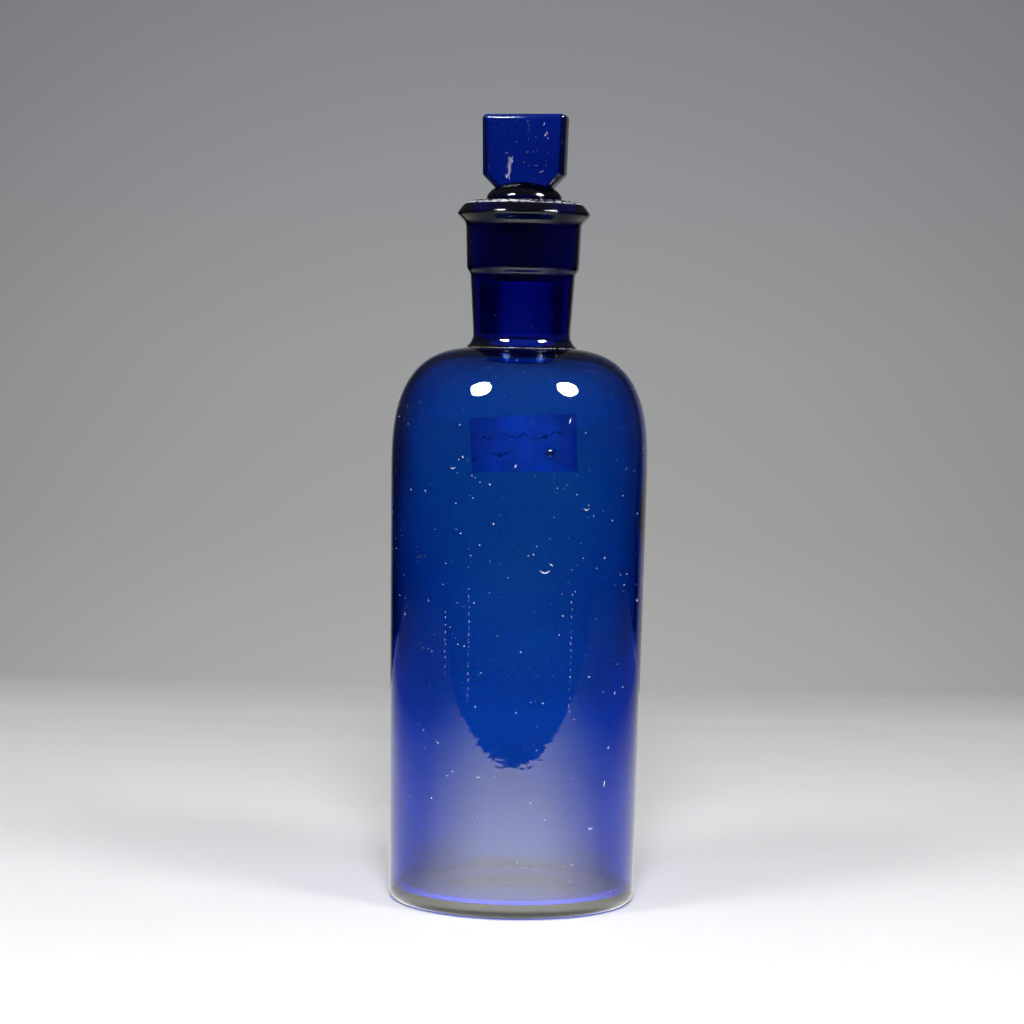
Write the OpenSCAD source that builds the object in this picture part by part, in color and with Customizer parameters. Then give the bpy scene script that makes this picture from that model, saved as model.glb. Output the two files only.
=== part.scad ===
// Apothecary medicine bottle: a blown glass bottle with a flared lip, a solid ground-glass
// stopper with a flat square head, and a plain paper label on the back.
// Millimetres. +Z is up, the origin is on the resting surface under the bottle's axis, and the
// stopper's wide face looks towards -Y, turned a little about Z.

/* [Body] */
// Outside diameter just under the shoulder
body_d = 74.9; // [60:0.1:95]
// Outside diameter just above the heel
foot_d = 71.8; // [58:0.1:95]
// Height at which the wall starts to turn in to the shoulder
body_h = 126.3; // [90:0.1:170]
// Height of the shoulder
shoulder_h = 35.7; // [28:0.1:46]
// Fullness of the shoulder's curve: 2 is an ellipse, more is squarer
shoulder_power = 2.8; // [2.2:0.1:3.2]
// Thickness of the wall just under the shoulder
wall = 2.3; // [1.8:0.1:3.6]
// Thickness of the wall just above the heel
foot_wall = 2.9; // [2:0.1:4.5]
// Thickness of the glass in the base
base_t = 3; // [2:0.5:7]
// Radius of the heel between the wall and the foot
heel_r = 3; // [2:0.5:4]
// Width of the flat ring that the bottle stands on
foot_ring = 5; // [3:0.5:7]
// Height of the hollow under the base
push_up = 1; // [1:0.5:3]

/* [Neck] */
// Diameter of the bore through the neck
bore_d = 19; // [14:0.5:24]
// Height of the neck, from the top of the shoulder to the collar
neck_h = 21.5; // [16:0.5:30]
// Thickness of the neck at its root
neck_wall = 4.65; // [3.5:0.05:6]
// How much wider the neck is at the collar than at its root, on the radius
neck_flare = 1.15; // [0.5:0.05:2]
// Radius of the fillet where the neck meets the shoulder
root_r = 4.5; // [3:0.1:6]

/* [Collar and lip] */
// Height of the thick collar around the stopper's seat
collar_h = 13.3; // [10:0.1:18]
// How far the collar stands out from the neck
step_out = 1.1; // [0.6:0.1:2]
// Height of the slope under the lip's edge
lip_under_h = 3.9; // [2.5:0.1:5.5]
// Height of the lip above its edge
lip_over_h = 3.9; // [3:0.1:6]
// How far the lip's edge stands out from the collar
lip_out = 2.8; // [1.5:0.1:4]

/* [Ground joint] */
// Length of the ground seat, down from the mouth
joint_h = 23.5; // [18:0.5:30]
// Widening of the seat on the diameter, for each millimetre of length
joint_taper = 0.085; // [0.05:0.005:0.12]
// Gap between the ground faces
ground_gap = 0.05; // [0.03:0.01:0.1]

/* [Stopper] */
// Width of the flat head
head_w = 24.8; // [20:0.1:30]
// Height of the head's top above the lip
head_h = 25.1; // [20:0.1:30]
// Height of the head's foot above the lip; the foot is sunk in the dome
head_foot_h = 3.5; // [2:0.1:4.5]
// Thickness of the flat head
head_t = 7.5; // [5:0.1:10]
// Cut across the head's two lower corners
head_corner = 4; // [2.5:0.1:5]
// Bevel around the head's faces
head_bevel = 1; // [0.5:0.1:1.6]
// Narrowing of the head towards its foot, on each side
head_draft = 0.4; // [0:0.1:1]
// Turn of the head about the vertical axis
head_turn = -15; // [-45:1:45]
// Height of the dome under the head
dome_h = 5.4; // [3.5:0.1:6.5]
// How far the dome overhangs the ground plug
dome_out = 0.4; // [0.2:0.1:1.5]

/* [Label] */
// Width of the label, across the back
label_w = 34; // [20:1:45]
// Height of the label
label_h = 17; // [10:1:30]
// Distance of the label's middle below the top of the shoulder
label_drop = 29; // [26:1:100]
// Thickness of the paper
label_t = 0.15; // [0.1:0.01:0.3]
// Thickness of the glue under it
glue_t = 0.03; // [0.02:0.01:0.1]
// Tilt of the label, its +X end upwards
label_tilt = 3; // [-15:1:15]
// Shift of the label towards +X from the middle of the back
label_shift = 1.5; // [-10:0.1:10]

/* [Hidden] */
$fn = 96;

// Points on a quarter of a curve, and on a small fillet
curve_steps = 24;
fillet_steps = 8;
// The shoulder would be level this far inside the neck's root, and the neck's fillet meets it
// in a crease at this angle
level_in = 4.3;
crease_angle = 65;
// Rounding under the collar's step, and how much the collar widens up to the lip
step_r = 2.2;
collar_flare = 0.4;
// Where the cove under the lip's edge ends, as an angle about the cove's middle
cove_end = 122;
// Lean of the bevel over the lip's edge, the rounding above it, and the mouth's chamfer
lip_bevel = 37;
lip_round = 4.3;
mouth_chamfer = 0.6;
// How far the seat is wider than the bore at its lower end
seat_step = 0.15;
// Insides of the corner at the neck's root and of the corner around the floor
inner_root_r = 2.5;
floor_r = 3;
// Chamfer on the plug's lower end, and clear height under the dome
plug_chamfer = 0.8;
dome_lift = 0.3;
// Cut across the head's two upper corners
head_top_cut = 0.9;

body_r = body_d / 2;
foot_r = foot_d / 2;
bore_r = bore_d / 2;
neck_root_r = bore_r + neck_wall;
neck_top_r = neck_root_r + neck_flare;
collar_r = neck_top_r + step_out;
collar_top_r = collar_r + collar_flare;
lip_r = collar_top_r + lip_out;

// The shoulder is a quarter of a superellipse about [level_r, body_h], cut off at the crease
level_r = neck_root_r - level_in;
crease_r = neck_root_r + root_r * (1 - cos(crease_angle));
across = body_r - level_r;
cut_angle = acos(pow((crease_r - level_r) / across, shoulder_power / 2));
crease_z = body_h + shoulder_h * pow(sin(cut_angle), 2 / shoulder_power);
root_z = crease_z + root_r * sin(crease_angle);

// The rounding under the collar starts on the neck and ends on the collar's side
collar_z = body_h + shoulder_h + neck_h;
step_angle = acos(1 - step_out / step_r);
lip_z = collar_z + collar_h;
lip_edge_z = lip_z + lip_under_h;
mouth_z = lip_edge_z + lip_over_h;
// Middle of the rounding over the lip, placed so that the bevel runs to the lip's edge
lip_round_z = mouth_z - lip_round;
lip_round_x = lip_r - (lip_round - (lip_edge_z - lip_round_z) * sin(lip_bevel)) / cos(lip_bevel);

seat_z = mouth_z - joint_h;
seat_r = bore_r + seat_step;
mouth_r = seat_r + joint_h * joint_taper / 2;
head_top_z = mouth_z + head_h;
floor_z = push_up + base_t;
label_z = body_h + shoulder_h - label_drop;

// An arc of radius r about [x, z], from angle a to angle b
function arc(x, z, r, a, b, steps = fillet_steps) =
    [for (i = [0:steps]) let (t = a + (b - a) * i / steps) [x + r * cos(t), z + r * sin(t)]];

// A superellipse about [x, z], from its side up towards its top
function swell(x, z, wide, high, power, end = 90, steps = curve_steps) =
    [for (i = [0:steps]) let (t = end * i / steps)
        [x + wide * pow(cos(t), 2 / power), z + high * pow(sin(t), 2 / power)]];

// A list of points in the other direction
function reversed(points) = [for (i = [len(points) - 1:-1:0]) points[i]];

// The seat's radius at a height
function seat_at(z) = seat_r + (z - seat_z) * joint_taper / 2;

// Outside of the body from the foot to the crease under the neck, grown by extra
function body_outside(extra = 0) = concat(
    arc(foot_r - heel_r, heel_r, heel_r + extra, -90, 0),
    swell(level_r, body_h, across + extra, shoulder_h + extra, shoulder_power, cut_angle));

// Outside of the neck, collar and lip, from the crease up to the mouth's edge
function neck_outside() = concat(
    arc(neck_root_r + root_r, root_z, root_r, 180 + crease_angle, 180),
    arc(collar_r - step_r, collar_z + step_r * sin(step_angle), step_r, -step_angle, 0),
    arc(lip_r, lip_z, lip_out, 180, cove_end),
    [[lip_r, lip_edge_z]],
    arc(lip_round_x, lip_round_z, lip_round, lip_bevel, 90),
    [[mouth_r + mouth_chamfer, mouth_z], [mouth_r, mouth_z - mouth_chamfer]]);

// Inside of the bottle, from the lower end of the seat down to the middle of the floor
inner_r = body_r - wall;
inner_foot_r = foot_r - foot_wall;
inner_top_z = body_h + shoulder_h - wall;
inner_level_r = bore_r + inner_root_r;
function inside() = concat(
    [[seat_r, seat_z], [bore_r, seat_z - seat_step]],
    arc(inner_level_r, inner_top_z + inner_root_r, inner_root_r, 180, 270),
    reversed(swell(inner_level_r, body_h, inner_r - inner_level_r, inner_top_z - body_h,
        shoulder_power)),
    arc(inner_foot_r - floor_r, floor_z + floor_r, floor_r, 0, -90),
    [[0, floor_z]]);

// Hollow under the base, from its middle out to the flat ring
hollow_r = foot_r - heel_r - foot_ring;
sphere_r = (hollow_r * hollow_r + push_up * push_up) / (2 * push_up);
hollow_angle = asin(hollow_r / sphere_r);
function underside() =
    reversed(arc(0, push_up - sphere_r, sphere_r, 90 - hollow_angle, 90, curve_steps));

module bottle() {
    color("mediumblue", 0.6)
    rotate_extrude()
    polygon(concat(underside(), body_outside(), neck_outside(), inside()));
}

// Ground plug and the dome over it
dome_z = mouth_z + dome_lift;
dome_r = mouth_r + dome_out;
plug_z = seat_z + ground_gap;
module plug_and_dome() {
    rotate_extrude()
    polygon(concat(
        [[0, plug_z], [seat_at(plug_z) - ground_gap - plug_chamfer, plug_z]],
        [[seat_at(plug_z + plug_chamfer) - ground_gap, plug_z + plug_chamfer]],
        [[seat_at(mouth_z) - ground_gap, mouth_z], [seat_at(mouth_z) - ground_gap, dome_z]],
        swell(0, dome_z, dome_r, dome_h, 2)));
}

// Flat head: its front outline, drawn in by inset, and a block bevelled around both faces
head_foot_z = mouth_z + head_foot_h;
module head_front(inset) {
    side = head_w / 2 - inset;
    top = head_top_z - inset;
    low_side = side - head_draft;
    low_cut = head_corner + inset * (sqrt(2) - 1);
    polygon([
        [low_side - low_cut, head_foot_z], [low_side, head_foot_z + low_cut],
        [side, top - head_top_cut], [side - head_top_cut, top],
        [head_top_cut - side, top], [-side, top - head_top_cut],
        [-low_side, head_foot_z + low_cut], [low_cut - low_side, head_foot_z]]);
}

module head() {
    rotate([90, 0, 0])
    hull() {
        linear_extrude(head_t - 2 * head_bevel, center = true) head_front(0);
        linear_extrude(head_t, center = true) head_front(head_bevel);
    }
}

module stopper() {
    color("mediumblue", 0.75)
    union() {
        plug_and_dome();
        rotate([0, 0, head_turn]) head();
    }
}

// The paper follows the wall, and a tilted block trims it to its outline
module label() {
    color("ivory")
    intersection() {
        rotate_extrude()
        polygon(concat(body_outside(glue_t + label_t), reversed(body_outside(glue_t))));
        translate([label_shift, 0, label_z])
            rotate([0, -label_tilt, 0])
            translate([-label_w / 2, 0, -label_h / 2])
            cube([label_w, body_d, label_h]);
    }
}

bottle();
stopper();
label();
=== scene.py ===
"""Looks of the medicine bottle: cobalt glass, its ground stopper and its paper label.

Metres, in the CAD frame: +Z up, the bottle's axis on Z, its front towards -Y.
"""

import math

import bmesh
import bpy
import numpy as np
from mathutils import Matrix, Vector, noise


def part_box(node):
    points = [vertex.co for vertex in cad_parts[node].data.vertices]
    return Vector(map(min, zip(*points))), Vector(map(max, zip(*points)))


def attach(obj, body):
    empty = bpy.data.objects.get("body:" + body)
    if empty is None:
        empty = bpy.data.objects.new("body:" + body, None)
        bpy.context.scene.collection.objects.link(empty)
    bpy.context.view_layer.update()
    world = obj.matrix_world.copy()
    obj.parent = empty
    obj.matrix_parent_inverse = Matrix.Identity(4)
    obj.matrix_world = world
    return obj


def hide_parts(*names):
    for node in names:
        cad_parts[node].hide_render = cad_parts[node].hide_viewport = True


MM = 0.001

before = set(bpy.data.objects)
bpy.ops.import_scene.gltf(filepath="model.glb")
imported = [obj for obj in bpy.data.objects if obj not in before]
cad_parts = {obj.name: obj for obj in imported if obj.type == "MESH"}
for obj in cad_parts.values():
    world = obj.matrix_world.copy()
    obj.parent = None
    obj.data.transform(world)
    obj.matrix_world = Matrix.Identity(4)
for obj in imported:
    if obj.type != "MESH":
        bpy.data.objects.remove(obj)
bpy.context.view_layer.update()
mouth_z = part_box("bottle")[1].z

# ---------------------------------------------------------------- sizes, in mm

# Camera
CAMERA_DISTANCE = 850
CAMERA_HEIGHT = 159.8
CAMERA_SIDE = -1.84
CAMERA_PITCH = 3.09
CAMERA_ROLL = 1.1
LENS = 102.2

# Glass meshes: steps around and along the outline, and passes that round its corners
AROUND = 192
FINE_STEP = 0.35
COARSE_STEP = 1.8
CORNER_PASSES = 3

# Bottle. INSIDE_R lies between the bore and the neck's outside. The glass wanders from a true
# circle by WANDER_OUT and WANDER_IN, which grow from nothing at INSIDE_R over WANDER_FADE, at
# WANDER_SCALE waves to the metre. The seat is clear for SEAT_EDGE under the mouth, and the
# lip's top is rubbed out to RUBBED_R and down to RUBBED_DEPTH.
INSIDE_R = 12
WANDER_OUT = 0.05
WANDER_IN = 0.22
WANDER_FADE = 10
WANDER_SCALE = 45
SEAT_EDGE = 0.2
RUBBED_R = 17.2
RUBBED_DEPTH = 2.0

# Marks on the bottle: how many specks of dust and seeds, how deep the seeds lie, the radius of
# the rough ring at the neck's root, which is above SHOULDER_Z, the body's radius, and how far
# a mark stands out
BOTTLE_RANDOM = 11
DUST = 950
SEEDS = 200
SEED_DEPTH = 1.1
CREASE_R = 16.6
SHOULDER_Z = 150
BODY_R = 37.2
MARK_T = 0.05
# Scratches: degrees from the front, lower and upper height
SCRATCHES = ((-21.3, 62, 96), (24.8, 58, 94), (-33, 70, 88))
# Curved chips: degrees from the front, height, reach, pieces
CHIPS = ((12.0, 99.5, 1.3, 9), (-30, 128, 0.8, 5), (31, 117, 0.9, 5),
         (-16, 41, 0.8, 4), (38, 26, 0.9, 5), (70, 90, 1.0, 5))

# Stopper, measured from the mouth and the axis. The plug is ground outside GROUND_R and from
# GROUND_TOP below the mouth down.
GROUND_GAP = 0.05
PLUG_CHAMFER = 0.8
DOME_LIFT = 0.3
DOME_H = 5.4
DOME_OUT = 0.4
HEAD_W = 24.8
HEAD_T = 7.5
HEAD_TOP = 25.1
HEAD_FOOT = 3.5
HEAD_CORNER = 4.0
HEAD_TOP_CUT = 0.9
HEAD_BEVEL = 1.0
HEAD_DRAFT = 0.4
HEAD_TURN = -15.0
HEAD_SOFT = 0.35
JOINT_H = 23.5
GROUND_R = 4
GROUND_TOP = 0.3

# Marks on the head's face
HEAD_RANDOM = 5
SCUFFS = 24
HEAD_SPECKS = 30
HEAD_MARK_T = 0.03
# Chips: across, up, length, width, lean in radians
HEAD_CHIPS = [(5.5, 8.1, 0.45, 0.045, 1.2), (6.1, 8.4, 0.3, 0.045, -0.9),
              (6.9, 18.8, 0.35, 0.10, 0.5), (7.4, 19.5, 0.5, 0.05, -0.4),
              (6.5, 22.0, 0.7, 0.045, 0.35), (7.7, 17.9, 0.25, 0.08, 0.2)]

# Label
LABEL_W = 34
LABEL_H = 17
LABEL_Z = 133
LABEL_TILT = 3
LABEL_SHIFT = 1.5
LABEL_T = 0.15
GLUE_T = 0.03
LABEL_STEPS = (60, 30)

# ---------------------------------------------------------------- looks

# Material slots of the glass meshes
CLEAR, FROSTED, DUSTY, CHIPPED = range(4)

# Glass: it absorbs density * (1 - colour) per metre. Its clean surface's roughness, and the
# depth of its ripples in metres with the share of fine upright streaks in them.
GLASS_IOR = 1.52
COBALT = (0.0, 0.59, 0.927)
COBALT_DENSITY = 1150
SMOOTH = 0.015
RIPPLE = 0.000012
STREAKS = 0.04

# Studio, in metres: half the floor's width, the mirrored table's front edge, and the level,
# reach and middle of the painted pool of light in its reflection. THROUGH is how much of the
# backdrop is seen through the glass where the backdrop isn't straight behind it.
FLOOR_HALF = 0.56
TABLE_EDGE = -0.291
POOL = 6.6
POOL_SIZE = (0.24, 0.30)
POOL_Y = -0.03
THROUGH = 0.3

# Lamps: metres, degrees from the front and up, and watts
LAMP_DISTANCE = 0.8
LAMP_SIZE = 0.235
LAMP_AIM = (0, 0, 0.1)
KEY_ELEVATION = 46
KEY_AZIMUTHS = (-48, 48)
KEY_POWER = 2.0
GLINT_ELEVATION = 48
GLINT_AZIMUTHS = (-48, 58)
GLINT_POWER = 16
FILL_PLACE = (0, -1.6, 1.0)
FILL_POWER = 15
OVERHEAD_PLACE = (0, 0, 0.75)
OVERHEAD_POWER = 0.2
LABEL_LIGHT_PLACE = (0, 0.42, 0.50)
LABEL_LIGHT_AIM = (0.0015, 0.04, 0.133)
LABEL_LIGHT_COLOUR = (0.35, 0.42, 1.0)
LABEL_LIGHT_POWER = 0.012


# ---------------------------------------------------------------- camera

def add_camera():
    """The camera in front of the bottle, as high as its shoulder, looking slightly down."""
    camera = bpy.data.objects.new("camera", bpy.data.cameras.new("camera"))
    bpy.context.scene.collection.objects.link(camera)
    camera.data.lens = LENS
    camera.data.sensor_width = 36
    camera.data.clip_start = 0.05
    camera.data.clip_end = 20
    place = Matrix.Translation((CAMERA_SIDE * MM, -CAMERA_DISTANCE * MM, CAMERA_HEIGHT * MM))
    tilt = Matrix.Rotation(math.radians(90 - CAMERA_PITCH), 4, "X")
    roll = Matrix.Rotation(math.radians(CAMERA_ROLL), 4, "Z")
    camera.matrix_world = place @ tilt @ roll
    bpy.context.scene.camera = camera


# ---------------------------------------------------------------- node helpers

def new_material(name):
    """An empty material with its Principled shader: (material, nodes, links, shader)."""
    material = bpy.data.materials.new(name)
    material.use_nodes = True
    tree = material.node_tree
    shader = tree.nodes["Principled BSDF"]
    return material, tree.nodes, tree.links, shader


def math_node(nodes, links, kind, a, b=None, clamp=False):
    """A Math node whose inputs are numbers or sockets."""
    node = nodes.new("ShaderNodeMath")
    node.operation = kind
    node.use_clamp = clamp
    for slot, value in enumerate((a, b)):
        if value is None:
            continue
        if isinstance(value, (int, float)):
            node.inputs[slot].default_value = value
        else:
            links.new(value, node.inputs[slot])
    return node.outputs[0]


def ramp(nodes, links, value, stops):
    """A colour ramp: stops are (position, grey or colour)."""
    node = nodes.new("ShaderNodeValToRGB")
    elements = node.color_ramp.elements
    while len(elements) > 1:
        elements.remove(elements[-1])
    for i, (at, colour) in enumerate(stops):
        element = elements[0] if i == 0 else elements.new(at)
        element.position = at
        if isinstance(colour, (int, float)):
            colour = (colour, colour, colour)
        element.color = (*colour, 1)
    links.new(value, node.inputs[0])
    return node.outputs[0]


def scaled_place(nodes, links, scale=(1, 1, 1)):
    """Object coordinates, scaled."""
    coords = nodes.new("ShaderNodeTexCoord")
    mapping = nodes.new("ShaderNodeMapping")
    mapping.inputs["Scale"].default_value = scale
    links.new(coords.outputs["Object"], mapping.inputs["Vector"])
    return mapping.outputs[0]


def add_bump(nodes, links, shader, height, strength, distance):
    """Bump a shader by a height, distance in metres."""
    bump = nodes.new("ShaderNodeBump")
    bump.inputs["Strength"].default_value = strength
    bump.inputs["Distance"].default_value = distance
    links.new(height, bump.inputs["Height"])
    links.new(bump.outputs[0], shader.inputs["Normal"])


def noise_node(nodes, links, place, scale, detail=3, roughness=0.5):
    node = nodes.new("ShaderNodeTexNoise")
    node.inputs["Scale"].default_value = scale
    node.inputs["Detail"].default_value = detail
    node.inputs["Roughness"].default_value = roughness
    links.new(place, node.inputs["Vector"])
    return node.outputs["Fac"]


# ---------------------------------------------------------------- glass materials

def add_cobalt(nodes, links):
    """The colour of the glass is in its depth: red goes first, then green."""
    output = nodes["Material Output"]
    volume = nodes.new("ShaderNodeVolumeAbsorption")
    volume.inputs["Color"].default_value = (*COBALT, 1)
    volume.inputs["Density"].default_value = COBALT_DENSITY
    links.new(volume.outputs[0], output.inputs["Volume"])


def specks(nodes, links, place, cell, size, share):
    """Small round specks: one in some of the cells, cell and size in metres."""
    cells = nodes.new("ShaderNodeTexVoronoi")
    cells.inputs["Scale"].default_value = 1 / cell
    links.new(place, cells.inputs["Vector"])
    near = math_node(nodes, links, "LESS_THAN", cells.outputs["Distance"], size / cell)
    split = nodes.new("ShaderNodeSeparateColor")
    links.new(cells.outputs["Color"], split.inputs[0])
    some = math_node(nodes, links, "LESS_THAN", split.outputs[0], share)
    return math_node(nodes, links, "MULTIPLY", near, some)


def new_glass(name):
    """Clear glass with the cobalt in its depth."""
    material, nodes, links, shader = new_material(name)
    shader.inputs["Base Color"].default_value = (1, 1, 1, 1)
    shader.inputs["Transmission Weight"].default_value = 1
    shader.inputs["IOR"].default_value = GLASS_IOR
    add_cobalt(nodes, links)
    return material, nodes, links, shader


def glass_material():
    """Glass with faint ripples, fine scratches and specks of dust."""
    material, nodes, links, shader = new_glass("cobalt_glass")

    place = scaled_place(nodes, links)
    dust = specks(nodes, links, place, 2.6 * MM, 0.16 * MM, 0.30)
    grit = specks(nodes, links, place, 5.5 * MM, 0.26 * MM, 0.18)
    marks = math_node(nodes, links, "MAXIMUM", dust, grit)
    long_place = scaled_place(nodes, links, (1, 1, 0.06))
    scratch = noise_node(nodes, links, long_place, 1400, 2, 0.6)
    scratched = ramp(nodes, links, scratch, [(0.0, 0.0), (0.68, 0.0), (0.72, 0.25), (1.0, 0.3)])
    worn = math_node(nodes, links, "MAXIMUM", marks, scratched)
    rough = math_node(nodes, links, "MULTIPLY_ADD", worn, 0.6)
    rough.node.inputs[2].default_value = SMOOTH
    links.new(rough, shader.inputs["Roughness"])

    fine = noise_node(nodes, links, place, 420, 2)
    broad = noise_node(nodes, links, place, 90, 2)
    streaks = noise_node(nodes, links, scaled_place(nodes, links, (1, 1, 0.4)), 1500, 2)
    height = math_node(nodes, links, "MULTIPLY_ADD", broad, 3.0)
    faint = math_node(nodes, links, "MULTIPLY", streaks, STREAKS)
    links.new(math_node(nodes, links, "ADD", fine, faint), height.node.inputs[2])
    add_bump(nodes, links, shader, height, 1, RIPPLE)
    return material


def ground_material():
    """Ground glass: a fine grey frosting."""
    material, nodes, links, shader = new_glass("ground_glass")
    place = scaled_place(nodes, links)
    grain = noise_node(nodes, links, place, 3000, 2)
    rough = ramp(nodes, links, grain, [(0.3, 0.35), (0.7, 0.6)])
    links.new(rough, shader.inputs["Roughness"])
    return material


def dust_material():
    """Pale dust and the white of small chips."""
    material, nodes, links, shader = new_material("pale_dust")
    place = scaled_place(nodes, links)
    tone = ramp(nodes, links, noise_node(nodes, links, place, 900, 2),
                [(0.3, (0.62, 0.66, 0.74)), (0.7, (0.92, 0.93, 0.95))])
    links.new(tone, shader.inputs["Base Color"])
    shader.inputs["Roughness"].default_value = 0.7
    return material


def chipped_material():
    """The mouth's rubbed and chipped edge: white where it is rough, dark glass elsewhere."""
    material, nodes, links, shader = new_material("chipped_glass")
    place = scaled_place(nodes, links)
    grain = noise_node(nodes, links, place, 900, 5, 0.7)
    split = nodes.new("ShaderNodeSeparateXYZ")
    links.new(place, split.inputs[0])
    depth = math_node(nodes, links, "SUBTRACT", split.outputs["Z"], mouth_z)
    middle = math_node(nodes, links, "ABSOLUTE",
                       math_node(nodes, links, "ADD", depth, RUBBED_DEPTH / 2 * MM))
    fade = math_node(nodes, links, "MULTIPLY", middle, -0.16 / MM)
    worn = math_node(nodes, links, "ADD", grain, fade)
    tone = ramp(nodes, links, worn, [(0.44, (0.008, 0.009, 0.02)), (0.49, (0.42, 0.43, 0.46))])
    links.new(tone, shader.inputs["Base Color"])
    links.new(ramp(nodes, links, worn, [(0.44, 0.08), (0.49, 0.7)]), shader.inputs["Roughness"])
    rise = ramp(nodes, links, worn, [(0.43, 0.5), (0.6, 1.0)])
    add_bump(nodes, links, shader, rise, 0.6, 0.1 * MM)
    return material


# ---------------------------------------------------------------- profiles and revolved glass

def ring_profile(node):
    """The outline of a turned CAD node as (radius, height) points, from its lowest point on
    the axis to the other end of the outline, which is on the axis too."""
    mesh = node.data
    place = np.array([v.co for v in mesh.vertices])
    grain = 0.02 * MM
    rings = np.round(np.stack([np.hypot(place[:, 0], place[:, 1]), place[:, 2]], 1) / grain)
    keys, ring_of = np.unique(rings.astype(int), axis=0, return_inverse=True)
    ring_of = ring_of.reshape(-1)
    points = [tuple(place_mean(place, ring_of == i)) for i in range(len(keys))]
    near = [set() for _ in keys]
    for edge in mesh.edges:
        a, b = (ring_of[v] for v in edge.vertices)
        if a != b:
            near[a].add(b)
            near[b].add(a)
    return walk(points, near)


def place_mean(place, chosen):
    """The mean radius and height of a ring of points."""
    ring = place[chosen]
    return np.hypot(ring[:, 0], ring[:, 1]).mean(), ring[:, 2].mean()


def walk(points, near):
    """Follow the rings from the lowest one on the axis."""
    on_axis = [i for i, (r, z) in enumerate(points) if r < 0.01 * MM]
    here = min(on_axis, key=lambda i: points[i][1])
    seen = [here]
    while True:
        onward = [i for i in near[here] if i not in seen]
        if not onward:
            return [points[i] for i in seen]
        here = onward[0]
        seen.append(here)


def resample(points, step):
    """Points at even steps along an outline."""
    p = np.array(points)
    along = np.concatenate([[0], np.cumsum(np.hypot(*np.diff(p, axis=0).T))])
    count = max(2, int(round(along[-1] / step)) + 1)
    at = np.linspace(0, along[-1], count)
    return np.stack([np.interp(at, along, p[:, 0]), np.interp(at, along, p[:, 1])], 1)


def soften(points, passes):
    """Round the corners a little, ends held."""
    p = points.copy()
    for _ in range(passes):
        p[1:-1] = 0.5 * p[1:-1] + 0.25 * (p[:-2] + p[2:])
    return p


def thin_out(points, coarse, turn=math.radians(1.5)):
    """Drop the points that a straight or gentle stretch doesn't need."""
    kept = [0]
    heading = math.atan2(*(points[1] - points[0])[::-1])
    for i in range(1, len(points) - 1):
        now = math.atan2(*(points[i + 1] - points[i])[::-1])
        bend = abs((now - heading + math.pi) % (2 * math.pi) - math.pi)
        far = np.hypot(*(points[i] - points[kept[-1]]))
        if bend > turn or far > coarse:
            kept.append(i)
            heading = now
    kept.append(len(points) - 1)
    return points[kept]


def turned(name, outline, material_of, materials, wave=None):
    """A closed mesh turned from an outline whose two ends are on the axis. wave moves a point,
    given its number in the outline, its angle, radius and height."""
    bm = bmesh.new()
    angles = np.arange(AROUND) * 2 * math.pi / AROUND
    rings = []
    for k, (r, z) in enumerate(outline):
        if k in (0, len(outline) - 1):
            rings.append([bm.verts.new((0, 0, z))] * AROUND)
            continue
        ring = []
        for a in angles:
            radius, height = wave(k, a, r, z) if wave else (r, z)
            ring.append(bm.verts.new((radius * math.cos(a), radius * math.sin(a), height)))
        rings.append(ring)
    for k in range(len(outline) - 1):
        slot = material_of(outline[k], outline[k + 1])
        for j in range(AROUND):
            corners = [rings[k][j], rings[k][(j + 1) % AROUND],
                       rings[k + 1][(j + 1) % AROUND], rings[k + 1][j]]
            face = bm.faces.new(list(dict.fromkeys(corners)))
            face.material_index = slot
            face.smooth = True
    bmesh.ops.recalc_face_normals(bm, faces=bm.faces)
    mesh = bpy.data.meshes.new(name)
    bm.to_mesh(mesh)
    bm.free()
    for material in materials:
        mesh.materials.append(material)
    obj = bpy.data.objects.new(name, mesh)
    bpy.context.scene.collection.objects.link(obj)
    return obj


# ---------------------------------------------------------------- bottle

def dense(points):
    """An outline ready for turning: corners rounded, and points only where they count."""
    return thin_out(soften(resample(points, FINE_STEP * MM), CORNER_PASSES), COARSE_STEP * MM)


def wander(angle, r, z, inside):
    """How the glass wanders from a true circle: a little outside, more inside."""
    size = (WANDER_IN if inside else WANDER_OUT) * MM
    near = Vector((math.cos(angle) * r, math.sin(angle) * r, z)) * WANDER_SCALE
    if inside:
        near += Vector((7.3, 1.7, 4.1))
    fade = min(1, max(0, (r - INSIDE_R * MM) / (WANDER_FADE * MM)))
    return r + size * fade * noise.noise(near)


def hand_blown(inner_from):
    """The wave of blown glass, where points from inner_from on are inside."""
    def wave(k, a, r, z):
        return wander(a, r, z, k >= inner_from), z
    return wave


def outside_wall(outline):
    """The outside of the bottle up to the lip, sorted by height."""
    outer = outline[:int(np.argmax(outline[:, 1]))]
    return outer[np.argsort(outer[:, 1])]


# ---------------------------------------------------------------- dust, seeds and chips

def outer_spot(wall, angle, z):
    """A place on the outside of the bottle, and the way out of the glass there."""
    r = float(np.interp(z, wall[:, 1], wall[:, 0]))
    slope = float(np.interp(z + 1 * MM, wall[:, 1], wall[:, 0])) - r
    out = Vector((math.cos(angle), math.sin(angle), -slope / MM)).normalized()
    r = wander(angle, r, z, False)
    return Vector((r * math.cos(angle), r * math.sin(angle), z)), out


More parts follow.
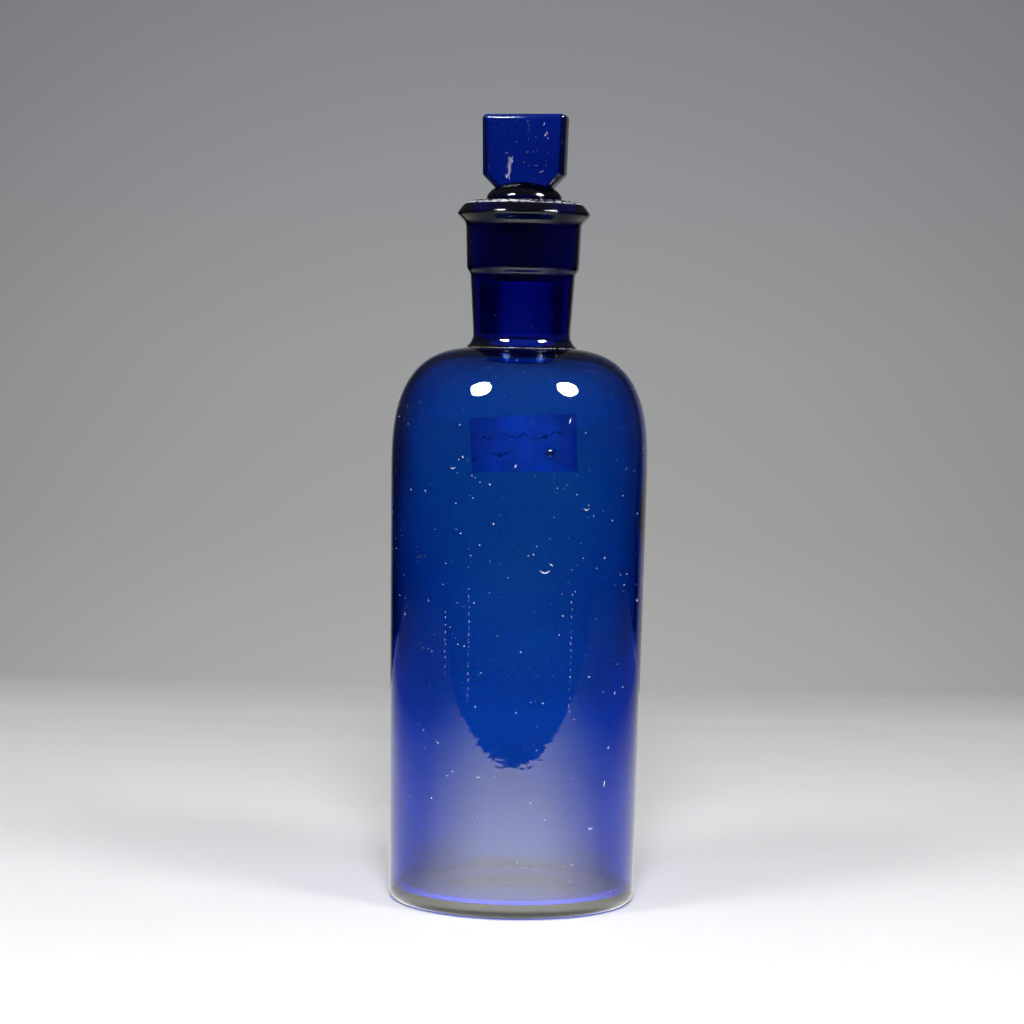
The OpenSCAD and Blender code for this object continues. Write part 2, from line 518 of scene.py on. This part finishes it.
def add_lumps(obj, lumps):
    """Small closed lumps in or on a mesh. A lump is (middle, out, along, size, slot, hollow);
    size is its reach along, across and out."""
    shape = bmesh.new()
    bmesh.ops.create_icosphere(shape, subdivisions=1, radius=1)
    points = [v.co.copy() for v in shape.verts]
    faces = [[v.index for v in f.verts] for f in shape.faces]
    shape.free()
    bm = bmesh.new()
    bm.from_mesh(obj.data)
    for middle, out, along, (a, b, c), slot, hollow in lumps:
        across = out.cross(along).normalized()
        ahead = across.cross(out).normalized()
        verts = [bm.verts.new(middle + ahead * (p.x * a) + across * (p.y * b) + out * (p.z * c))
                 for p in points]
        for face in faces:
            corners = [verts[i] for i in face]
            made = bm.faces.new(corners[::-1] if hollow else corners)
            made.material_index = slot
            made.smooth = True
    bm.to_mesh(obj.data)
    bm.free()


def on_bottle(wall, rng, angle, z, length, width, lean=None):
    """A mark on the outside of the bottle, its lean counted from upright."""
    spot, out = outer_spot(wall, angle, z)
    lean = rng.uniform(0, math.pi) if lean is None else lean
    side = Vector((-math.sin(angle), math.cos(angle), 0))
    along = Vector((0, 0, 1)) * math.cos(lean) + side * math.sin(lean)
    return spot, out, along, (length * MM, width * MM, MARK_T * MM), DUSTY, False


def bottle_lumps(wall):
    """Dust, scratches, curved chips, the rough ring at the neck's root, and seeds in the
    wall."""
    rng = np.random.default_rng(BOTTLE_RANDOM)
    lumps = []
    for _ in range(DUST):
        angle, z = rng.uniform(0, 2 * math.pi), rng.uniform(4, 160) * MM
        size = 0.05 + 0.14 * rng.random() ** 3
        long = 1.2 + 6 * rng.random() ** 12
        lumps.append(on_bottle(wall, rng, angle, z, size * long, size))
    for turn, low, high in SCRATCHES:
        for z in np.arange(low, high, 1.9):
            angle = math.radians(-90 + turn + rng.uniform(-0.25, 0.25))
            lumps.append(on_bottle(wall, rng, angle, (z + rng.uniform(-0.6, 0.6)) * MM,
                                   rng.uniform(0.1, 0.45), 0.055, 0.05))
    for turn, z, reach, count in CHIPS:
        for step in np.linspace(-1, 1, count):
            angle = math.radians(-90 + turn) + step * reach / BODY_R
            height = (z - 0.5 * reach * (1 - step * step)) * MM
            lumps.append(on_bottle(wall, rng, angle, height, 0.32 * reach / 1.3,
                                   0.16 * (1.2 - step * step), math.pi / 2 + 0.6 * step))
    upper = wall[wall[:, 1] > SHOULDER_Z * MM]
    crease = float(np.interp(-CREASE_R * MM, -upper[:, 0], upper[:, 1]))
    for angle in np.arange(0, 2 * math.pi, 0.045):
        lumps.append(on_bottle(wall, rng, angle + rng.uniform(-0.02, 0.02),
                               crease + rng.uniform(-0.06, 0.06) * MM,
                               rng.uniform(0.15, 0.55), 0.07, math.pi / 2))
    for _ in range(SEEDS):
        angle, z = rng.uniform(0, 2 * math.pi), rng.uniform(14, 150) * MM
        spot, out = outer_spot(wall, angle, z)
        size = (0.08 + 0.22 * rng.random() ** 3) * MM
        lumps.append((spot - out * SEED_DEPTH * MM, out, Vector((0, 0, 1)),
                      (size * rng.uniform(1, 2.2), size, size * 0.8), CLEAR, True))
    return lumps


def add_bottle(materials):
    """The bottle, turned again from the CAD outline. Returns that outline."""
    outline = dense(ring_profile(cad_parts["bottle"]))
    lip = int(np.argmax(outline[:, 1]))
    seat_low = mouth_z - JOINT_H * MM

    def material_of(a, b):
        middle = (a + b) / 2
        inside = middle[0] < INSIDE_R * MM
        if inside and seat_low < middle[1] < mouth_z - SEAT_EDGE * MM:
            return FROSTED
        if middle[0] < RUBBED_R * MM and middle[1] >= mouth_z - RUBBED_DEPTH * MM:
            return CHIPPED
        return CLEAR

    bottle = turned("bottle_glass", outline, material_of, materials, hand_blown(lip))
    add_lumps(bottle, bottle_lumps(outside_wall(outline)))
    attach(bottle, "bottle")
    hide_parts("bottle")
    return outline


# ---------------------------------------------------------------- stopper

def seat_line(outline):
    """The seat's radius by height, fitted to the straight part of the bottle's outline."""
    inner = [p for p in outline if p[0] < INSIDE_R * MM
             and mouth_z - (JOINT_H - 1) * MM < p[1] < mouth_z - 1.5 * MM]
    heights = [p[1] for p in inner]
    radii = [p[0] for p in inner]
    slope, start = np.polyfit(heights, radii, 1)
    return lambda z: start + slope * z


def plug_outline(seat):
    """The outline of the ground plug and the dome, from the middle of the plug's foot."""
    gap = GROUND_GAP * MM
    foot = mouth_z - JOINT_H * MM + gap
    chamfer = PLUG_CHAMFER * MM
    dome_z = mouth_z + DOME_LIFT * MM
    dome_r = seat(mouth_z) + DOME_OUT * MM
    plug = [(0, foot), (seat(foot) - gap - chamfer, foot),
            (seat(foot + chamfer) - gap, foot + chamfer),
            (seat(mouth_z) - gap, mouth_z), (seat(mouth_z) - gap, dome_z)]
    turns = np.radians(np.linspace(0, 90, 40))
    dome = [(dome_r * math.cos(t), dome_z + DOME_H * MM * math.sin(t)) for t in turns]
    dome[-1] = (0, dome[-1][1])
    return plug + dome


def head_mesh():
    """The flat head as a block with bevelled faces and softened edges."""
    outlines = []
    for inset, depth in ((HEAD_BEVEL, -HEAD_T / 2), (0, HEAD_BEVEL - HEAD_T / 2),
                         (0, HEAD_T / 2 - HEAD_BEVEL), (HEAD_BEVEL, HEAD_T / 2)):
        side = HEAD_W / 2 - inset
        low = side - HEAD_DRAFT
        cut = HEAD_CORNER + inset * (math.sqrt(2) - 1)
        crown = HEAD_TOP - inset
        right = [(low - cut, HEAD_FOOT), (low, HEAD_FOOT + cut),
                 (side, crown - HEAD_TOP_CUT), (side - HEAD_TOP_CUT, crown)]
        left = [(-x, z) for x, z in reversed(right)]
        outlines.append([(x, depth, z) for x, z in right + left])
    bm = bmesh.new()
    rings = [[bm.verts.new(Vector(p) * MM) for p in ring] for ring in outlines]
    count = len(rings[0])
    bm.faces.new(rings[0])
    bm.faces.new(list(reversed(rings[-1])))
    for a, b in zip(rings, rings[1:]):
        for j in range(count):
            bm.faces.new((a[j], b[j], b[(j + 1) % count], a[(j + 1) % count]))
    bmesh.ops.recalc_face_normals(bm, faces=bm.faces)
    bmesh.ops.bevel(bm, geom=list(bm.edges), offset=HEAD_SOFT * MM, segments=3, profile=0.5,
                    affect="EDGES", clamp_overlap=True)
    mesh = bpy.data.meshes.new("head")
    bm.to_mesh(mesh)
    bm.free()
    return mesh


def head_lumps(turn):
    """A patch of scuffs, chips and specks on the head's face."""
    rng = np.random.default_rng(HEAD_RANDOM)
    marks = [(rng.uniform(-4.3, -3.1) + 0.12 * (up - 9), up, rng.uniform(0.15, 0.8),
              rng.uniform(0.025, 0.06), rng.normal(-0.1, 0.35))
             for up in np.linspace(6.4, 12.4, SCUFFS)]
    marks += HEAD_CHIPS
    marks += [(rng.uniform(-10, 10), rng.uniform(6, 22), rng.uniform(0.05, 0.14), 0.05,
               rng.uniform(0, 3)) for _ in range(HEAD_SPECKS)]
    lumps = []
    for across, up, length, width, lean in marks:
        spot = turn @ Vector((across * MM, -HEAD_T / 2 * MM, up * MM)) + Vector((0, 0, mouth_z))
        out = turn @ Vector((0, -1, 0))
        along = turn @ Vector((math.sin(lean), 0, math.cos(lean)))
        size = (length * MM, width * MM, HEAD_MARK_T * MM)
        lumps.append((spot, out, along, size, DUSTY, False))
    return lumps


def add_stopper(materials, outline):
    """The stopper: the turned plug and dome joined with the flat head."""
    plug = dense(plug_outline(seat_line(outline)))

    def material_of(a, b):
        radius, height = (a + b) / 2
        ground = radius > GROUND_R * MM and height < mouth_z - GROUND_TOP * MM
        return FROSTED if ground else CLEAR

    stopper = turned("stopper_glass", plug, material_of, materials)
    head = bpy.data.objects.new("head", head_mesh())
    bpy.context.scene.collection.objects.link(head)
    for material in materials:
        head.data.materials.append(material)
    turn = Matrix.Rotation(math.radians(HEAD_TURN), 4, "Z")
    head.matrix_world = Matrix.Translation((0, 0, mouth_z)) @ turn
    join = stopper.modifiers.new("join", "BOOLEAN")
    join.operation = "UNION"
    join.solver = "EXACT"
    join.object = head
    bpy.context.view_layer.update()
    bpy.context.view_layer.objects.active = stopper
    bpy.ops.object.modifier_apply(modifier=join.name)
    bpy.data.objects.remove(head)
    stopper.data.polygons.foreach_set("use_smooth", [True] * len(stopper.data.polygons))
    stopper.data.set_sharp_from_angle(angle=math.radians(28))
    add_lumps(stopper, head_lumps(turn))
    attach(stopper, "stopper")
    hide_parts("stopper")


# ---------------------------------------------------------------- label

def paper_material():
    """Aged rag paper with brown stains and a few faded pen strokes."""
    material, nodes, links, shader = new_material("label_paper")
    place = scaled_place(nodes, links)
    stain = noise_node(nodes, links, place, 160, 5, 0.6)
    colour = ramp(nodes, links, stain,
                  [(0.3, (0.62, 0.57, 0.46)), (0.55, (0.80, 0.77, 0.68)), (0.8, (0.86, 0.84, 0.78))])
    shader.inputs["Roughness"].default_value = 0.85
    shader.inputs["Subsurface Weight"].default_value = 1.0
    shader.inputs["Subsurface Radius"].default_value = (1, 1, 1)
    shader.inputs["Subsurface Scale"].default_value = 0.0004
    links.new(ink_lines(nodes, links, place, colour), shader.inputs["Base Color"])
    fibre = noise_node(nodes, links, scaled_place(nodes, links, (1, 1, 3)), 2500, 3)
    add_bump(nodes, links, shader, fibre, 0.4, 0.05 * MM)
    return material


def ink_lines(nodes, links, place, paper):
    """Wavering lines of faded ink, broken like handwriting but with no letters."""
    turn = nodes.new("ShaderNodeMapping")
    turn.vector_type = "POINT"
    turn.inputs["Location"].default_value = (0, 0, -LABEL_Z * MM)
    turn.inputs["Rotation"].default_value = (0, math.radians(LABEL_TILT), 0)
    links.new(place, turn.inputs["Vector"])
    split = nodes.new("ShaderNodeSeparateXYZ")
    links.new(turn.outputs[0], split.inputs[0])
    sway = noise_node(nodes, links, turn.outputs[0], 420, 2)
    height = math_node(nodes, links, "MULTIPLY_ADD", sway, 6 * MM)
    links.new(split.outputs["Z"], height.node.inputs[2])
    lines = math_node(nodes, links, "PINGPONG", height, 2.6 * MM)
    stroke = ramp(nodes, links, math_node(nodes, links, "DIVIDE", lines, 1.0 * MM),
                  [(0.15, 1.0), (0.55, 0.0)])
    word = noise_node(nodes, links, turn.outputs[0], 95, 1)
    written = math_node(nodes, links, "MULTIPLY", stroke,
                        ramp(nodes, links, word, [(0.44, 0.0), (0.54, 0.7)]))
    inner = math_node(nodes, links, "LESS_THAN",
                      math_node(nodes, links, "ABSOLUTE", split.outputs["Z"]), 5.6 * MM)
    written = math_node(nodes, links, "MULTIPLY", written, inner)
    mix = nodes.new("ShaderNodeMix")
    mix.data_type = "RGBA"
    links.new(written, mix.inputs["Factor"])
    links.new(paper, mix.inputs["A"])
    mix.inputs["B"].default_value = (0.10, 0.075, 0.06, 1)
    return mix.outputs["Result"]


def rim(sheet):
    """The points around the edge of a sheet of rows, in order."""
    return (sheet[0] + [row[-1] for row in sheet[1:]] + sheet[-1][-2::-1]
            + [row[0] for row in sheet[-2:0:-1]])


def add_label(material, outline):
    """The paper label, bent to the wall on the back of the bottle."""
    wall = outside_wall(outline)
    across, up = LABEL_STEPS
    lean = math.radians(LABEL_TILT)
    bm = bmesh.new()
    sheets = []
    for depth in (GLUE_T, GLUE_T + LABEL_T):
        sheet = []
        for j in range(up + 1):
            row = []
            for i in range(across + 1):
                u = (i / across - 0.5) * LABEL_W * MM
                v = (j / up - 0.5) * LABEL_H * MM
                x = u * math.cos(lean) - v * math.sin(lean) + LABEL_SHIFT * MM
                z = u * math.sin(lean) + v * math.cos(lean) + LABEL_Z * MM
                r = float(np.interp(z, wall[:, 1], wall[:, 0])) + depth * MM
                row.append(bm.verts.new((x, math.sqrt(r * r - x * x), z)))
            sheet.append(row)
        sheets.append(sheet)
    under, over = sheets
    for j in range(up):
        for i in range(across):
            bm.faces.new((under[j][i], under[j][i + 1], under[j + 1][i + 1], under[j + 1][i]))
            bm.faces.new((over[j][i], over[j + 1][i], over[j + 1][i + 1], over[j][i + 1]))
    rim_under, rim_over = rim(under), rim(over)
    for k in range(len(rim_under)):
        n = (k + 1) % len(rim_under)
        bm.faces.new((rim_under[k], rim_over[k], rim_over[n], rim_under[n]))
    bmesh.ops.recalc_face_normals(bm, faces=bm.faces)
    mesh = bpy.data.meshes.new("label")
    bm.to_mesh(mesh)
    bm.free()
    mesh.materials.append(material)
    mesh.polygons.foreach_set("use_smooth", [True] * len(mesh.polygons))
    mesh.set_sharp_from_angle(angle=math.radians(40))
    label = bpy.data.objects.new("paper_label", mesh)
    bpy.context.scene.collection.objects.link(label)
    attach(label, "bottle")
    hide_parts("label")


# ---------------------------------------------------------------- studio

def add_world():
    """A grey backdrop, dimmer to the sides. The glass mirrors a dark room in front of it with
    a paler ceiling, and shows less of the backdrop where that isn't straight behind it."""
    world = bpy.data.worlds.new("studio")
    bpy.context.scene.world = world
    world.use_nodes = True
    nodes, links = world.node_tree.nodes, world.node_tree.links
    coords = nodes.new("ShaderNodeTexCoord")
    split = nodes.new("ShaderNodeSeparateXYZ")
    links.new(coords.outputs["Generated"], split.inputs[0])
    rise = math_node(nodes, links, "MULTIPLY_ADD", split.outputs["Z"], 2.0, clamp=True)
    rise.node.inputs[2].default_value = 0.5
    backdrop = ramp(nodes, links, rise, [
        (0.27, (0.42, 0.42, 0.41)), (0.38, (0.36, 0.36, 0.355)), (0.44, (0.345, 0.345, 0.345)),
        (0.50, (0.33, 0.333, 0.338)), (0.62, (0.28, 0.288, 0.30)), (0.74, (0.235, 0.245, 0.258)),
        (1.0, (0.12, 0.125, 0.13))])
    sideways = math_node(nodes, links, "MULTIPLY", split.outputs["X"], split.outputs["X"])
    dim = math_node(nodes, links, "MULTIPLY_ADD", sideways, -6.0)
    dim.node.inputs[2].default_value = 1.0
    dim = math_node(nodes, links, "MAXIMUM", dim, 0.8)
    turned_y = math_node(nodes, links, "MULTIPLY_ADD", split.outputs["X"], 0.12)
    links.new(split.outputs["Y"], turned_y.node.inputs[2])
    back = ramp(nodes, links, turned_y, [(0.86, 0.0), (0.96, 1.0)])
    above = math_node(nodes, links, "MULTIPLY_ADD", split.outputs["Z"], 0.9, clamp=True)
    above.node.inputs[2].default_value = 0.08
    room = math_node(nodes, links, "MAXIMUM", back, above)
    through = math_node(nodes, links, "MAXIMUM", back, THROUGH)
    path = nodes.new("ShaderNodeLightPath")
    level = dim
    for kind, seen in (("Is Glossy Ray", room), ("Is Transmission Ray", through)):
        strength = nodes.new("ShaderNodeMix")
        strength.data_type = "FLOAT"
        links.new(path.outputs[kind], strength.inputs[0])
        links.new(level, strength.inputs[2])
        links.new(math_node(nodes, links, "MULTIPLY", seen, dim), strength.inputs[3])
        level = strength.outputs[0]
    background = nodes["Background"]
    links.new(backdrop, background.inputs["Color"])
    links.new(level, background.inputs["Strength"])


def plane(name, x0, x1, y0, y1, z):
    """A level rectangle on the stage."""
    mesh = bpy.data.meshes.new(name)
    mesh.from_pydata([(x0, y0, z), (x1, y0, z), (x1, y1, z), (x0, y1, z)], [], [(0, 1, 2, 3)])
    obj = bpy.data.objects.new(name, mesh)
    bpy.context.scene.collection.objects.link(obj)
    return obj


def add_floor():
    """The pale table, faded out at its edges, and a glowing plane that paints its reflection in
    mirrored rays."""
    floor = plane("floor", -FLOOR_HALF, FLOOR_HALF, -FLOOR_HALF, FLOOR_HALF, 0)
    material, nodes, links, shader = new_material("floor_paper")
    place = scaled_place(nodes, links)
    tone = ramp(nodes, links, noise_node(nodes, links, place, 12, 4),
                [(0.3, (0.83, 0.83, 0.82)), (0.7, (0.86, 0.86, 0.86))])
    links.new(tone, shader.inputs["Base Color"])
    shader.inputs["Roughness"].default_value = 0.9
    shader.inputs["Specular IOR Level"].default_value = 0.0
    split = nodes.new("ShaderNodeSeparateXYZ")
    links.new(place, split.inputs[0])
    far = math_node(nodes, links, "MAXIMUM",
                    math_node(nodes, links, "ABSOLUTE", split.outputs["X"]),
                    math_node(nodes, links, "ABSOLUTE", split.outputs["Y"]))
    shown = ramp(nodes, links, far, [(0.43, 1.0), (0.52, 0.55), (0.56, 0.0)])
    links.new(shown, shader.inputs["Alpha"])
    floor.data.materials.append(material)

    # A glowing plane seen only in mirrored rays: the table's painted reflection.
    pool = plane("lit_table", -3, 3, -3, 0.5, 0.0005)
    pool.data.materials.append(table_glow())
    pool.visible_camera = False
    pool.visible_diffuse = False
    pool.visible_transmission = False
    pool.visible_shadow = False
    pool.visible_volume_scatter = False


def table_glow():
    """A glowing plane that paints the table's reflection in the glass: a painted pool of light,
    brightest at a low angle and just in front of the bottle, an edge in front, and a dark room past
    it."""
    material, nodes, links, shader = new_material("table_glow")
    split = nodes.new("ShaderNodeSeparateXYZ")
    links.new(scaled_place(nodes, links), split.inputs[0])
    x, y = split.outputs["X"], split.outputs["Y"]
    from_middle = math_node(nodes, links, "ADD", y, -POOL_Y)
    wide = math_node(nodes, links, "POWER",
                     math_node(nodes, links, "DIVIDE", x, POOL_SIZE[0]), 2)
    deep = math_node(nodes, links, "POWER",
                     math_node(nodes, links, "DIVIDE", from_middle, POOL_SIZE[1]), 2)
    fall = math_node(nodes, links, "MULTIPLY", math_node(nodes, links, "ADD", wide, deep), -1)
    pool = math_node(nodes, links, "MULTIPLY", math_node(nodes, links, "EXPONENT", fall), POOL)
    reach = math_node(nodes, links, "SQRT",
                      math_node(nodes, links, "ADD", math_node(nodes, links, "MULTIPLY", x, x),
                                math_node(nodes, links, "MULTIPLY", y, y)))
    ahead = math_node(nodes, links, "MULTIPLY_ADD",
                      math_node(nodes, links, "DIVIDE", y, reach), -0.5)
    ahead.node.inputs[2].default_value = 0.5
    front = ramp(nodes, links, ahead, [(0.45, 0.06), (0.60, 0.16), (0.80, 0.6), (0.96, 1.0)])
    pool = math_node(nodes, links, "MULTIPLY", pool, front)
    side = ramp(nodes, links, math_node(nodes, links, "ABSOLUTE", x),
                [(0.18, 0.70), (0.40, 0.05), (0.70, 0.05), (1.0, 0.0)])
    level = math_node(nodes, links, "ADD", pool, side)
    edge = math_node(nodes, links, "GREATER_THAN", y, TABLE_EDGE)
    level = math_node(nodes, links, "MULTIPLY", level, edge)
    # Painted reflection: the glow grows stronger as the plane is seen at a lower angle.
    look = nodes.new("ShaderNodeLayerWeight")
    grazing_glow = ramp(nodes, links, look.outputs["Facing"], [(0.3, 0.3), (0.8, 1.0)])
    level = math_node(nodes, links, "MULTIPLY", level, grazing_glow)
    shader.inputs["Base Color"].default_value = (0.02, 0.02, 0.02, 1)
    shader.inputs["Roughness"].default_value = 1
    shader.inputs["Specular IOR Level"].default_value = 0.0
    shader.inputs["Emission Color"].default_value = (1, 1, 0.92, 1)
    links.new(level, shader.inputs["Emission Strength"])
    return material


def soft_light(name, place, aim, size, power, spread, mirrored=False, through=False):
    """A round area light, seen by mirrored rays or by rays through the glass only if it says
    so."""
    light = bpy.data.lights.new(name, "AREA")
    light.shape = "DISK"
    light.size = size
    light.energy = power
    light.spread = math.radians(spread)
    obj = bpy.data.objects.new(name, light)
    bpy.context.scene.collection.objects.link(obj)
    obj.location = place
    obj.rotation_euler = (Vector(aim) - Vector(place)).to_track_quat("-Z", "Y").to_euler()
    obj.visible_camera = False
    obj.visible_glossy = mirrored
    obj.visible_transmission = through
    return obj


def lamp_place(azimuth, elevation):
    """The place of a lamp around its aim, its azimuth counted from the front."""
    around, up = math.radians(azimuth), math.radians(elevation)
    way = Vector((math.sin(around) * math.cos(up), -math.cos(around) * math.cos(up),
                  math.sin(up)))
    return way * LAMP_DISTANCE + Vector(LAMP_AIM)


def add_lights():
    """Two round lamps in front for the light and its shadows, two for their images in the
    glass, a fill from the front, a faint lamp overhead, and a small blue one behind the
    label."""
    for side, azimuth in enumerate(KEY_AZIMUTHS):
        soft_light(f"key_{side}", lamp_place(azimuth, KEY_ELEVATION), LAMP_AIM,
                   size=LAMP_SIZE, power=KEY_POWER, spread=180)
    for side, azimuth in enumerate(GLINT_AZIMUTHS):
        glint = soft_light(f"glint_{side}", lamp_place(azimuth, GLINT_ELEVATION), LAMP_AIM,
                           size=LAMP_SIZE, power=GLINT_POWER, spread=180, mirrored=True)
        glint.visible_diffuse = False
    soft_light("front_fill", FILL_PLACE, (0, 0, 0), size=0.56, power=FILL_POWER, spread=120)
    soft_light("overhead", OVERHEAD_PLACE, (0, 0, 0), size=0.5, power=OVERHEAD_POWER,
               spread=160, through=True)
    glow = soft_light("label_light", LABEL_LIGHT_PLACE, LABEL_LIGHT_AIM, size=0.03,
                      power=LABEL_LIGHT_POWER, spread=6)
    glow.data.color = LABEL_LIGHT_COLOUR


# ---------------------------------------------------------------- build

add_camera()
add_world()
add_floor()
add_lights()
clear_glass = glass_material()
frosted = ground_material()
dust = dust_material()
bottle_outline = add_bottle([clear_glass, frosted, dust, chipped_material()])
add_stopper([clear_glass, frosted, dust], bottle_outline)
add_label(paper_material(), bottle_outline)

bpy.context.scene.view_settings.view_transform = "Standard"
